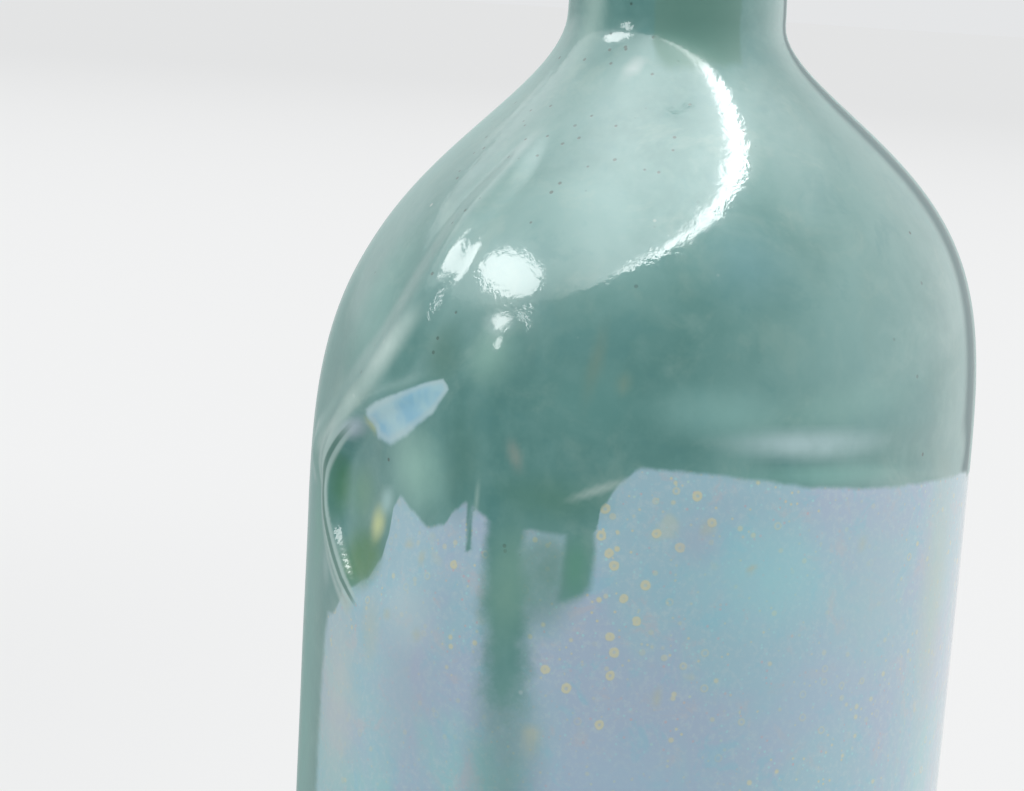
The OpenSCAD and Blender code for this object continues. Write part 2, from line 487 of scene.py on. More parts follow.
def turned(profile: Sequence[Point], steps: int) -> bmesh.types.BMesh:
    """Spin a profile once round Z.

    Args:
        profile: Radius and height of each point, in millimetres.
        steps: Columns round the form.

    Returns:
        A mesh in metres, merged, its faces turned outwards.
    """
    bm = bmesh.new()
    verts = [bm.verts.new((r * MM, 0, z * MM)) for r, z in profile]
    edges = [bm.edges.new(pair) for pair in zip(verts, verts[1:])]
    bmesh.ops.spin(
        bm, geom=verts + edges, cent=(0, 0, 0), axis=(0, 0, 1), dvec=(0, 0, 0),
        angle=math.tau, steps=steps, use_merge=True, use_duplicate=False,
    )
    bmesh.ops.remove_doubles(bm, verts=bm.verts, dist=1e-6)
    bmesh.ops.recalc_face_normals(bm, faces=bm.faces)
    return bm


def finish_piece(
    bm: bmesh.types.BMesh, name: str, material: bpy.types.Material
) -> bpy.types.Object:
    """Make a smooth object of a mesh and put it in the scene.

    Args:
        bm: The mesh, which is used up.
        name: The piece's name.
        material: Its finish.

    Returns:
        The new object.
    """
    mesh = bpy.data.meshes.new(name)
    for face in bm.faces:
        face.smooth = True
    bm.to_mesh(mesh)
    bm.free()
    mesh.materials.append(material)
    piece = bpy.data.objects.new(name, mesh)
    bpy.context.collection.objects.link(piece)
    return piece


def disc(
    name: str, radius: float, place: Place, material: bpy.types.Material
) -> bpy.types.Object:
    """Make a flat disc.

    Args:
        name: Its name.
        radius: Its radius, in metres.
        place: Its middle.
        material: Its finish.

    Returns:
        The new object.
    """
    bm = bmesh.new()
    bmesh.ops.create_circle(bm, cap_ends=True, segments=96, radius=radius)
    bmesh.ops.translate(bm, verts=bm.verts, vec=place)
    return finish_piece(bm, name, material)


# --------------------------------------------------------------------------- shader nodes

Socket = bpy.types.NodeSocket
COLOUR = "NodeSocketColor"
VALUE = "NodeSocketFloat"
VECTOR = "NodeSocketVector"
BLACK: Colour = (0.0, 0.0, 0.0)
WHITE: Colour = (1.0, 1.0, 1.0)


class Wiring:
    """Short hand for laying out nodes in a material, a world or a group."""

    def __init__(self, tree: bpy.types.NodeTree) -> None:
        """Keep the tree that nodes are added to."""
        self.tree = tree

    def node(self, kind: str, **settings: object) -> bpy.types.Node:
        """Add a node.

        Args:
            kind: Blender's name for it, without the leading ShaderNode.
            **settings: Properties to set on it.

        Returns:
            The node.
        """
        made = self.tree.nodes.new(kind if kind.startswith("Node") else "ShaderNode" + kind)
        for key, value in settings.items():
            setattr(made, key, value)
        return made

    def feed(self, node: bpy.types.Node, inputs: dict[str | int, object]) -> bpy.types.Node:
        """Link inputs of a node to sockets, or set them to plain values.

        Args:
            node: The node.
            inputs: The socket or value for each input, by its name or number.

        Returns:
            The same node.
        """
        for key, value in inputs.items():
            socket = node.inputs[key]
            if isinstance(value, Socket):
                self.tree.links.new(value, socket)
            elif socket.type == "RGBA":
                socket.default_value = (*value, 1.0)
            else:
                socket.default_value = value
        return node

    def here(self) -> Socket:
        """Return the place on the piece, in metres."""
        return self.node("TexCoord").outputs["Object"]

    def mark(self, name: str) -> Socket:
        """Return the value that the piece's vertices store under a name."""
        return self.node("Attribute", attribute_name=name).outputs["Fac"]

    def split(self, vector: Socket) -> tuple[Socket, Socket, Socket]:
        """Return the X, Y and Z of a vector."""
        return tuple(self.feed(self.node("SeparateXYZ"), {0: vector}).outputs)

    def maths(self, operation: str, *values: object) -> Socket:
        """Return the result of a Math node's operation on some values."""
        return self.feed(self.node("Math", operation=operation), dict(enumerate(values))).outputs[0]

    def plus(self, a: object, b: object) -> Socket:
        """Return a + b."""
        return self.maths("ADD", a, b)

    def minus(self, a: object, b: object) -> Socket:
        """Return a - b."""
        return self.maths("SUBTRACT", a, b)

    def larger(self, a: object, b: object) -> Socket:
        """Return the larger of two values."""
        return self.maths("MAXIMUM", a, b)

    def times(self, first: object, *others: object) -> object:
        """Return the product of some values."""
        for other in others:
            first = self.maths("MULTIPLY", first, other)
        return first

    def ramp(
        self, value: object, low: float, high: float, out_low: float = 0.0, out_high: float = 1.0
    ) -> Socket:
        """Map a value smoothly from one range to another.

        Args:
            value: The value.
            low: Where the change starts.
            high: Where it ends.
            out_low: The result at its start.
            out_high: The result at its end.

        Returns:
            The result.
        """
        made = self.node("MapRange", interpolation_type="SMOOTHSTEP")
        return self.feed(made, dict(enumerate((value, low, high, out_low, out_high)))).outputs[0]

    def band(self, value: object, rise: Point, fall: Point) -> Socket:
        """Return 1 where a value lies between two soft edges, and 0 elsewhere.

        Args:
            value: The value.
            rise: Where the first edge leaves 0 and reaches 1.
            fall: Where the second edge reaches 0 and leaves 1.

        Returns:
            The mask.
        """
        return self.times(self.ramp(value, *rise), self.ramp(value, *fall))

    def mix(self, share: object, a: object, b: object, blend: str = "MIX") -> Socket:
        """Mix two colours.

        Args:
            share: How much of the second, from 0 to 1.
            a: The first colour.
            b: The second colour.
            blend: How they are blended.

        Returns:
            The mixed colour.
        """
        made = self.node("Mix", data_type="RGBA", blend_type=blend)
        return self.feed(made, {0: share, 6: a, 7: b}).outputs[2]

    def lay(self, colour: object, *coats: tuple[object, object]) -> object:
        """Lay coats over a colour.

        Args:
            colour: What lies underneath.
            *coats: How much each coat covers, and its colour.

        Returns:
            The colour on top.
        """
        for share, coat in coats:
            colour = self.mix(share, colour, coat)
        return colour

    def cloud(
        self, where: Socket, scale: float, detail: float, rough: float, warp: float = 0.0
    ) -> Socket:
        """Return the value of a noise.

        Args:
            where: Coordinates.
            scale: Its scale.
            detail: Its octaves.
            rough: How strong the finer octaves are.
            warp: How far it is distorted.

        Returns:
            The value, mostly between 0.3 and 0.7.
        """
        inputs = {"Vector": where, "Scale": scale, "Detail": detail, "Roughness": rough}
        return self.feed(self.node("TexNoise"), inputs | {"Distortion": warp}).outputs["Fac"]

    def cells(self, where: Socket, scale: float) -> tuple[Socket, Socket]:
        """Scatter points.

        Args:
            where: Coordinates.
            scale: Points to a unit of length.

        Returns:
            The distance to the nearest point, in cells, and that point's random value.
        """
        made = self.feed(self.node("TexVoronoi"), {"Vector": where, "Scale": scale})
        luck = self.feed(self.node("SeparateColor"), {0: made.outputs["Color"]}).outputs[0]
        return made.outputs["Distance"], luck

    def specks(self, where: Socket, scale: float, size: Point, share: Point) -> Socket:
        """Return a mask of scattered round specks.

        Args:
            where: Coordinates.
            scale: Points to a unit of length.
            size: Radius at which a speck starts, and at which it is full, in cells.
            share: Random value from which a point has a speck, and a full one.

        Returns:
            The mask.
        """
        near, luck = self.cells(where, scale)
        return self.times(self.ramp(near, *size), self.ramp(luck, *share))

    def distance(self, where: Socket, places: Sequence[Place]) -> Socket:
        """Return the distance to the nearest of some places, in metres."""
        nearest: object = 1.0
        for place in places:
            made = self.node("VectorMath", operation="DISTANCE")
            self.feed(made, {0: where, 1: tuple(place)})
            nearest = self.maths("MINIMUM", nearest, made.outputs["Value"])
        return nearest

    def stretched(self, where: Socket, upward: float) -> Socket:
        """Return coordinates whose Z is scaled."""
        inputs = {"Vector": where, "Scale": (1.0, 1.0, upward)}
        return self.feed(self.node("Mapping"), inputs).outputs[0]

    def bump(self, height: Socket, strength: float, depth: float) -> Socket:
        """Return a normal roughened by a height, over a depth in metres."""
        inputs = {"Height": height, "Strength": strength, "Distance": depth}
        return self.feed(self.node("Bump"), inputs).outputs[0]


def new_material(name: str) -> tuple[bpy.types.Material, Wiring, bpy.types.Node]:
    """Start a material.

    Args:
        name: Its name.

    Returns:
        The material, its wiring and its Principled shader.
    """
    material = bpy.data.materials.new(name)
    material.use_nodes = True
    return material, Wiring(material.node_tree), material.node_tree.nodes["Principled BSDF"]


def new_group(
    name: str, outputs: dict[str, str], inputs: dict[str, str] | None = None
) -> tuple[bpy.types.NodeTree, Wiring, bpy.types.Node, bpy.types.Node]:
    """Start a node group for an effect that several finishes share.

    Args:
        name: The group's name.
        outputs: Socket type for each output, by name.
        inputs: Socket type for each input, by name.

    Returns:
        The group, its wiring, its input node and its output node.
    """
    tree = bpy.data.node_groups.new(name, "ShaderNodeTree")
    for direction, sockets in (("INPUT", inputs or {}), ("OUTPUT", outputs)):
        for label, kind in sockets.items():
            tree.interface.new_socket(label, in_out=direction, socket_type=kind)
    wiring = Wiring(tree)
    return tree, wiring, wiring.node("NodeGroupInput"), wiring.node("NodeGroupOutput")


# --------------------------------------------------------------------------- finishes

GLASS_IOR = 1.52


@dataclass(frozen=True)
class SeedyGlass:
    """Body of the glass: faint wisps, seeds and pits, as a group shared by vessel and lip."""

    pale: Colour = (0.21, 0.44, 0.41)
    deep: Colour = (0.105, 0.30, 0.275)
    milk: Colour = (0.30, 0.50, 0.44)
    teal: Colour = (0.08, 0.29, 0.29)
    olive: Colour = (0.16, 0.25, 0.16)
    pit: Colour = (0.03, 0.055, 0.045)
    seed: Colour = (0.62, 0.72, 0.68)

    def group(self, worn: Place, pits: Sequence[Place]) -> bpy.types.NodeTree:
        """Build the node group.

        Args:
            worn: Middle of the zone where pits crowd, in metres.
            pits: Places of single larger pits.

        Returns:
            A group that gives a colour and a height for bumps.
        """
        tree, w, _, out = new_group("seedy_glass", {"Color": COLOUR, "Height": VALUE})
        where = w.here()
        wisps = w.stretched(where, 0.35)
        fine = w.cloud(where, 420, 3, 0.6)
        mottle = w.cloud(where, 130, 4, 0.65, 0.4)
        streak = w.ramp(w.cloud(wisps, 75, 2, 0.5, 0.3), 0.66, 0.80)
        seed = w.specks(where, 260, (0.10, 0.03), (0.86, 0.90))
        near, luck = w.cells(where, 620)
        crowd = w.ramp(w.distance(where, [worn]), 0.020, 0.008, 0.0, 0.42)
        pit = w.times(w.ramp(near, 0.20, 0.09), w.ramp(w.plus(luck, crowd), 0.96, 0.99))
        pit = w.larger(pit, w.ramp(w.distance(where, pits), 0.00034, 0.00020))
        colour = w.lay(
            self.deep,
            (w.ramp(w.cloud(wisps, 38, 4, 0.55, 0.6), 0.36, 0.68), self.pale),
            (w.times(w.ramp(fine, 0.35, 0.75), 0.35), self.pale),
            (w.ramp(mottle, 0.50, 0.70, 0.0, 0.35), self.milk),
            (w.ramp(mottle, 0.48, 0.34, 0.0, 0.3), self.teal),
            (w.times(streak, 0.3), self.olive),
            (w.times(pit, 0.7), self.pit),
            (w.times(seed, 0.6), self.seed),
        )
        w.feed(out, {"Color": colour, "Height": w.minus(w.times(fine, 0.25), pit)})
        return tree


@dataclass(frozen=True)
class IridescentPatina:
    """Weathered skin of the lower body: blue and lilac, with specks and little rings."""

    blue: Colour = (0.39, 0.62, 0.71)
    cyan: Colour = (0.36, 0.66, 0.70)
    lilac: Colour = (0.44, 0.57, 0.71)
    gold: Colour = (0.70, 0.70, 0.48)
    frost: Colour = (0.60, 0.72, 0.74)
    rose: Colour = (0.60, 0.58, 0.62)
    azure: Colour = (0.28, 0.62, 0.74)
    dot: Colour = (0.74, 0.72, 0.44)
    speck_blue: Colour = (0.42, 0.74, 0.78)
    speck_rose: Colour = (0.62, 0.50, 0.55)

    def group(self, rings: Sequence[Place]) -> bpy.types.NodeTree:
        """Build the node group.

        Args:
            rings: Places of the little rings, in metres.

        Returns:
            A group that gives a colour and a height for bumps.
        """
        tree, w, _, out = new_group("iridescent_patina", {"Color": COLOUR, "Height": VALUE})
        where = w.here()
        drawn = w.stretched(where, 0.6)
        blotch = w.ramp(w.cloud(where, 150, 2, 0.5, 0.5), 0.66, 0.76)
        grain = w.cloud(where, 1300, 3, 0.7)
        cast = w.cloud(where, 260, 4, 0.7, 0.5)
        crowd = w.ramp(w.cloud(where, 45, 3, 0.6), 0.40, 0.60, 0.25, 1.0)
        near, luck = w.cells(where, 1500)
        speck = w.times(w.ramp(near, 0.34, 0.16), w.ramp(luck, 0.60, 0.66), crowd)
        warm = w.mix(w.ramp(luck, 0.90, 0.94), self.gold, self.speck_rose)
        tint = w.mix(w.ramp(luck, 0.80, 0.84), self.speck_blue, warm)
        dot = w.specks(where, 640, (0.28, 0.14), (0.74, 0.78))
        shaken = w.plus(w.distance(where, rings), w.times(w.minus(cast, 0.5), 0.0009))
        ring = w.times(w.ramp(shaken, 0.00010, 0.00032, 0.3, 1.0), w.ramp(shaken, 0.00068, 0.00050))
        near, luck = w.cells(where, 420)
        small = w.times(w.band(near, (0.08, 0.14), (0.24, 0.18)), w.ramp(luck, 0.82, 0.86), crowd)
        ring = w.larger(w.times(ring, 0.85), w.times(small, 0.55))
        colour = w.lay(
            self.blue,
            (w.ramp(w.cloud(drawn, 60, 4, 0.55, 0.8), 0.40, 0.62), self.lilac),
            (w.ramp(w.cloud(drawn, 44, 4, 0.55, 1.2), 0.50, 0.66), self.cyan),
            (w.times(blotch, 0.35), self.gold),
            (w.times(w.ramp(grain, 0.45, 0.72), 0.4), self.frost),
            (w.ramp(cast, 0.54, 0.70, 0.0, 0.45), self.rose),
            (w.ramp(cast, 0.46, 0.32, 0.0, 0.45), self.azure),
            (w.times(speck, 0.85), tint),
            (w.times(dot, crowd, 0.75), self.dot),
            (ring, self.gold),
        )
        w.feed(out, {"Color": colour, "Height": w.plus(w.times(grain, 0.6), ring)})
        return tree


@dataclass(frozen=True)
class AgedGlass:
    """Finish of the vessel: clean glass above the waist, patina below, fold by fold."""

    slump: Slump
    seedy: SeedyGlass = SeedyGlass()
    patina: IridescentPatina = IridescentPatina()
    # Flap and hem: painted reflection of the pale table on the flap, tinted by its film, and a
    # painted highlight along its edge.
    flap: tuple[Colour, Colour] = ((0.29, 0.61, 0.78), (0.46, 0.74, 0.80))
    hem: Colour = (0.56, 0.72, 0.72)
    # Painted highlight along the rolled fold, then painted shade in its crease.
    bead_highlight: Colour = (0.50, 0.68, 0.64)
    crease_shade: Colour = (0.07, 0.22, 0.18)
    # Colour that the neck's front patch is painted darker with.
    neck_patch_colour: Colour = (0.15, 0.33, 0.27)
    # Painted light at the outline: a rim colour towards it, and a dark line just inside it on the
    # right.
    rim: Colour = (0.12, 0.42, 0.38)
    edge: Colour = (0.01, 0.11, 0.12)
    clean_roughness: float = 0.32
    patina_roughness: float = 0.45
    transmission: float = 0.12
    coat_roughness: float = 0.035
    coat_ior: float = 1.6

    def _touched_up(self, w: Wiring, where: Socket, colour: Socket) -> Socket:
        """Lay the stored dabs over a colour; their own colour is already scaled by their cover."""
        dabs = w.node("Attribute", attribute_name="dabs").outputs
        grain = w.ramp(w.cloud(where, 300, 4, 0.6), 0.2, 0.7, 0.75, 1.0)
        under = w.mix(w.times(dabs["Alpha"], grain), colour, BLACK)
        return w.mix(1.0, under, w.mix(grain, BLACK, dabs["Color"]), "ADD")

    def material(self) -> bpy.types.Material:
        """Build the vessel's material."""
        spot = self.slump.spot
        material, w, shader = new_material("aqua_glass")
        glass = w.node("Group", node_tree=self.seedy.group(spot(*WORN), [spot(*p) for p in PITS]))
        weathered = w.node("Group", node_tree=self.patina.group([spot(*p) for p in RINGS]))
        where = w.here()
        wander = w.minus(w.cloud(where, 320, 5, 0.7), 0.5)
        covered, flap, neck_darkened = (
            w.ramp(w.plus(w.mark(name), w.times(wander, ragged)), -1, 1)
            for name, ragged in (("patina", 2.0), ("facet", 1.5), ("neck_dark_patch", 3.0))
        )
        bare = w.minus(1.0, covered)
        facing = w.node("LayerWeight").outputs["Facing"]
        # where the painted dark line just inside the right-hand outline is drawn
        at_right = w.ramp(w.split(where)[0], 0.006, 0.014, 0.0, 0.9)
        edge = w.times(w.band(facing, (0.72, 0.80), (0.92, 0.86)), at_right, bare)
        off, bead_highlight = w.mark("crease"), w.mark("bead_highlight")
        colour = w.mix(covered, glass.outputs["Color"], weathered.outputs["Color"])
        colour = w.lay(
            self._touched_up(w, where, colour),
            # painted reflection on the flap, then a painted highlight along its edge
            (flap, w.mix(w.ramp(w.cloud(where, 160, 3, 0.6), 0.35, 0.65), *self.flap)),
            (w.times(flap, w.ramp(w.mark("facet"), 3.0, 0.8, 0.0, 0.5)), self.hem),
            # the front of the neck painted darker over its patch
            (w.times(neck_darkened, 0.85), self.neck_patch_colour),
            # painted highlight along the rolled fold, and painted shade down its crease
            (w.times(w.band(off, (-3.2, -2.2), (1.0, 0.6)), bead_highlight, 0.8), self.bead_highlight),
            (w.times(w.band(off, (-0.35, -0.10), (0.42, 0.2)), bead_highlight, 0.85), self.crease_shade),
            # painted light: bare glass turns to the rim colour towards the outline, then the
            # painted dark line on the right
            (w.times(w.ramp(facing, 0.55, 0.90, 0.0, 0.7), bare), self.rim),
            (edge, self.edge),
        )
        height = w.plus(glass.outputs["Height"], w.times(covered, weathered.outputs["Height"]))
        uneven = w.times(w.cloud(where, 330, 4, 0.65, 0.5), 12.0)
        haze = w.plus(w.cloud(where, 1500, 2, 0.6), uneven)
        dull = w.larger(w.times(neck_darkened, 0.6), edge)
        dull = w.larger(dull, w.times(w.ramp(facing, 0.65, 0.90, 0.0, 0.7), bare))
        w.feed(shader, {
            "Base Color": colour,
            "Roughness": w.ramp(covered, 0, 1, self.clean_roughness, self.patina_roughness),
            "Normal": w.bump(height, 0.10, 0.0003),
            "IOR": GLASS_IOR,
            "Transmission Weight": self.transmission,
            "Coat Weight": w.minus(1.0, dull),
            "Coat Roughness": self.coat_roughness,
            "Coat IOR": self.coat_ior,
            "Coat Normal": w.bump(haze, 0.05, 0.0001),
        })
        return material


@dataclass(frozen=True)
class LipGlass:
    """Finish of the applied lip: the same glass, thicker and cleaner."""

    depth: Colour = (0.08, 0.20, 0.17)
    depth_share: float = 0.25
    roughness: float = 0.22
    transmission: float = 0.25
    coat_roughness: float = 0.04

    def material(self) -> bpy.types.Material:
        """Build the lip's material."""
        material, w, shader = new_material("lip_glass")
        glass = w.node("Group", node_tree=bpy.data.node_groups["seedy_glass"]).outputs
        w.feed(shader, {
            "Base Color": w.mix(self.depth_share, glass["Color"], self.depth),
            "Normal": w.bump(glass["Height"], 0.15, 0.0003),
            "Roughness": self.roughness,
            "IOR": GLASS_IOR,
            "Transmission Weight": self.transmission,
            "Coat Weight": 1.0,
            "Coat Roughness": self.coat_roughness,
        })
        return material


@dataclass(frozen=True)
class AgedCork:
    """Finish of the cork: mottled grain with dark lenticels."""

    light: Colour = (0.52, 0.35, 0.20)
    dark: Colour = (0.30, 0.18, 0.09)
    lenticel: Colour = (0.07, 0.035, 0.016)
    roughness: float = 0.85

    def material(self) -> bpy.types.Material:
        """Build the cork's material."""
        material, w, shader = new_material("aged_cork")
        where = w.here()
        grain = w.cloud(where, 380, 5, 0.65, 0.4)
        pore = w.specks(w.stretched(where, 2.6), 240, (0.34, 0.14), (0.60, 0.70))
        colour = w.mix(w.ramp(grain, 0.35, 0.68), self.dark, self.light)
        w.feed(shader, {
            "Base Color": w.mix(w.times(pore, 0.85), colour, self.lenticel),
            "Roughness": self.roughness,
            "Normal": w.bump(w.minus(w.times(grain, 0.5), pore), 0.6, 0.0004),
        })
        return material


# --------------------------------------------------------------------------- sub-assemblies


@dataclass
class Vessel:
    """The blown bottle: base, body, folded shoulder and neck, in one closed wall."""

    form: BlownForm
    slump: Slump
    finish: AgedGlass
    columns: int = 324
    crowding: float = 30.0
    fold_ring: float = 0.6

    def profile(self) -> list[Point]:
        """Return the wall's section, from the base's middle outside to its middle inside."""
        f = self.form
        low, high = f.body_h - f.slump_reach, f.shoulder_top
        points = [(r, f.kick(r)) for r in spread(0, f.pontil_r - f.pontil_ridge, 1.6)]
        points += quarter_round((f.pontil_r, f.kick(f.pontil_r)), f.pontil_ridge / 2, -172, -8)
        points += [(r, f.kick(r)) for r in spread(f.pontil_r + f.pontil_ridge, f.kick_r, 2)]
        points += quarter_round((f.wall_r(f.heel_r) - f.heel_r, f.heel_r), f.heel_r, -90, 0)
        points += [(f.wall_r(z), z) for z in spread(f.heel_r, low, 3.6)[1:]]
        rises = spread(-f.slump_reach, 42, self.fold_ring) + spread(42, f.shoulder_h, 0.9)[1:]
        points += [(f.blown_radius(0, rise, Skin.OUTER), f.body_h + rise) for rise in rises[1:]]
        for z in spread(0, f.neck_draw, 1.3)[1:]:
            t = z / f.neck_draw
            points.append((f.neck_r + (f.neck_root_r - f.neck_r) * eased(t, 1), high + z))
        points += [(f.neck_r, z) for z in spread(high + f.neck_draw, f.neck_top, 3.2)[1:]]
        points += [(f.bore_at(z), z) for z in spread(f.neck_top, high, 4)]
        rises = spread(f.shoulder_h, -f.slump_reach, 2.6)
        points += [(f.blown_radius(0, rise, Skin.INNER), f.body_h + rise) for rise in rises[1:]]
        inner_r = f.wall_r(f.base_t + f.inner_heel_r) - f.body_wall
        heel_z = f.base_t + f.inner_heel_r
        points += [(f.wall_r(z) - f.body_wall, z) for z in spread(low, heel_z, 8)[1:]]
        points += quarter_round((inner_r - f.inner_heel_r, heel_z), f.inner_heel_r, 0, -90)[1:]
        points += [(r, f.base_t + f.kick(r)) for r in spread(f.kick_r, 0, 2.4)]
        return points

    def _fold(self, bm: bmesh.types.BMesh) -> None:
        """Crowd the columns towards the folds and give the slumped zone its shape."""
        f, s = self.form, self.slump
        middle = s.pocket_angle
        zone = f.body_h - f.slump_reach + 0.01
        for v in bm.verts:
            r, z = math.hypot(v.co.x, v.co.y) / MM, v.co.z / MM
            if r < 1e-4:
                continue
            even = math.degrees(math.atan2(v.co.x, -v.co.y)) - middle
            angle = middle + even - self.crowding * math.sin(math.radians(even))
            angle = (angle + 180) % 360 - 180
            rise = z - f.body_h
            if z > zone and rise < f.shoulder_h - 0.01:
                midway = sum(f.blown_radius(0, rise, skin) for skin in Skin) / 2
                r = s.radius(angle, rise, Skin.OUTER if r > midway else Skin.INNER)
            turn = math.radians(angle)
            shift = f.shift_at(rise)
            wave = s.ripple * smooth((z - 8) / 20) * smooth((f.shoulder_top + 12 - z) / 30)
            swing = noise.noise(Vector((2.2 * math.sin(turn), -2.2 * math.cos(turn), z / 22)))
            r -= wave * (0.5 - 0.5 * swing)
            v.co = Vector((shift + r * math.sin(turn), -r * math.cos(turn), z)) * MM

    def _patina_depth(self, angle: float, rise: float) -> float:
        """Return how deep inside the patina a place on the wall lies, in widths of its edge."""
        height = 8.5
        for swing, span, seed in ((2.2, 22, 3), (0.8, 6, 5)):
            height += swing * noise.noise(Vector((angle / span, seed, 1)))
        for (a, za), (b, zb) in zip(PATINA_TOP, PATINA_TOP[1:]):
            if a <= angle <= b:
                height = za + (zb - za) * smooth((angle - a) / (b - a))
        depth = (height - rise) / 0.4
        if depth > -3 and (-30 < angle < 0 or -91 < angle < -58):
            at = self.slump.on_wall(angle, rise)
            for run in RUNS:
                depth = min(depth, -run.depth(at, self.form.mm_per_degree))
        return depth

    def _mark(self, mesh: bpy.types.Mesh) -> None:
        """Store on each vertex how deep it lies in the patina and each marking, and its dabs."""
        f, slump = self.form, self.slump
        names = ("patina", "facet", "neck_dark_patch", "crease", "bead_highlight")
        for name in names:
            mesh.attributes.new(name, "FLOAT", "POINT")
        mesh.attributes.new("dabs", "FLOAT_COLOR", "POINT")
        layers = {name: mesh.attributes[name].data for name in names}
        dabs = mesh.attributes["dabs"].data
        far, reach = -20.0, 4.0
        for i, v in enumerate(mesh.vertices):
            x, y, z = (c / MM for c in v.co)
            rise = z - f.body_h
            angle = math.degrees(math.atan2(x - f.shift_at(rise), -y))
            at = slump.on_wall(angle, rise)
            layers["patina"][i].value = self._patina_depth(angle, rise) if rise < 30 else far
            near = -60 < angle < -28 and 5 < rise < 24
            layers["facet"][i].value = FACET.depth(at, f.mm_per_degree) if near else far
            near = -30 < angle < 50 and 50 < rise < 90
            layers["neck_dark_patch"][i].value = DARK_NECK_PATCH.depth(at, f.mm_per_degree) if near else far
            d, along = slump.rim.nearest(at) if slump.rim.within(at, reach + 1) else (far, 0)
            layers["crease"][i].value = min(reach, max(-reach, d))
            ends = smooth((along - 0.26) / 0.12) * smooth((1 - along) / 0.05)
            # where along the crease the painted highlight and shade are drawn
            layers["bead_highlight"][i].value = ends * smooth(reach - abs(d))
            red = green = blue = cover = 0.0
            for dab in DABS:
                share = dab.cover(at, f.mm_per_degree)
                if share:
                    pairs = zip((red, green, blue), dab.colour)
                    red, green, blue = (c + (new - c) * share for c, new in pairs)
                    cover += (1 - cover) * share
            dabs[i].color = (red, green, blue, cover)

    def build(self) -> bpy.types.Object:
        """Make the vessel and seat it on its body.

        Returns:
            The finished piece.
        """
        bm = turned(self.profile(), self.columns)
        self._fold(bm)
        piece = finish_piece(bm, "vessel_glass", self.finish.material())
        self._mark(piece.data)
        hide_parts("vessel")
        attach(piece, Body.BOTTLE.value)
        return piece


# Upper edge of the patina, as angle and rise, from the left side round the front to the right.
PATINA_TOP: tuple[Point, ...] = (
    (-92, 8), (-86, 4), (-82, -6), (-75, -14), (-60, -12), (-54, -8), (-50, -6.3), (-47, -3.5),
    (-46, -1), (-45, 3.5), (-43.4, 4.6), (-40, 3.4), (-35.8, 1.9), (-32.6, 2.6), (-30.5, 4.6),
    (-28.4, 5.8), (-24.3, 4.4), (-23, 3.6), (-8, 3.6), (-6.2, 4), (-5.8, 7), (-1.5, 10.9),
    (0, 12.1), (10, 11.9), (20, 11.3), (30.5, 10.4), (43, 10), (69, 9.9), (76, 9.6),
)

# Bare runs, where the patina was washed off, and the bare strip down the left side.
RUNS: tuple[Patch, ...] = (
    Patch(((-28.5, 7), (-27.6, 0), (-26.7, 0.2), (-27.5, 7)), 0.3, 0.3),
    Patch(
        (
            (-24.4, 6), (-23.7, -4), (-23.2, -12), (-22, -17), (-19, -19),
            (-16.2, -17), (-15.4, -11), (-16, -5), (-18, 1), (-17, 6),
        ),
        0.45,
        3.0,
    ),
    Patch(
        (
            (-10.9, 6), (-10.6, 1.5), (-11.2, -4.4), (-8.8, -3.9), (-6.1, -2.6),
            (-5.8, 1.1), (-6.1, 6.6), (-4.8, 9.3), (-6, 10),
        ),
        0.4,
        0.7,
    ),
    Patch(
        (
            (-84, 6), (-87, -8), (-85, -30), (-87.5, -52), (-83, -74), (-80, -96), (-76, -110),
            (-72, -102), (-69, -86), (-66, -70), (-64, -40), (-63, -20), (-61.5, -11), (-63, -5),
        ),
        0.5,
        2.5,
    ),
)

# Thin flap of glass along the top of the pocket, where a painted reflection and a painted highlight
# on its edge are laid.
FACET = Patch(
    (
        (-52, 14), (-49, 15.5), (-44, 17), (-38.5, 18.9), (-35, 19.6),
        (-33.6, 18.7), (-36.3, 15.6), (-42.5, 12.2), (-47, 10.6), (-51, 11),
    ),
    0.22,
    0.5,
)

# Patch on the front of the neck that is painted darker, with the coat dulled over it.
DARK_NECK_PATCH = Patch(
    ((-12, 80), (-11, 60), (-8, 58), (-2, 57.2), (15, 57.6), (31, 58), (34, 61), (36, 80)), 0.8, 0.8
)

# Middle of the worn zone where pits crowd, single pits, and rings in the patina.
WORN: Point = (-36, 51)
PITS: tuple[Point, ...] = (
    (-24.7, 42.0), (-38.2, 22.5), (-38.0, 24.2), (-20.8, 1.4), (-20.6, 0.8), (-47.5, 8.6),
)
RINGS: tuple[Point, ...] = (
    (-4.7, 7.1), (-5, 3.9), (-3.5, 2), (-2.6, 0.7), (-0.7, -3.1), (2.5, -1.4), (1.6, -5.7),
    (-2.4, -7.7), (-1.6, -9.5), (-2, -12.3), (-8.8, -14.3), (-3.2, -18.2), (9.6, 9.3),
    (3.6, 4.7), (12.2, 6.3), (-12.4, -12.3), (-29.6, -1.8), (7.5, 3.2),
)

AQUA: Colour = (0.21, 0.43, 0.35)
# Dark green of the painted shade low in the pocket.
POCKET_SHADE: Colour = (0.08, 0.27, 0.10)
FILM: Colour = (0.17, 0.36, 0.34)
STRAW: Colour = (0.58, 0.60, 0.42)
SKY: Colour = (0.36, 0.72, 0.77)
MAUVE: Colour = (0.46, 0.53, 0.66)

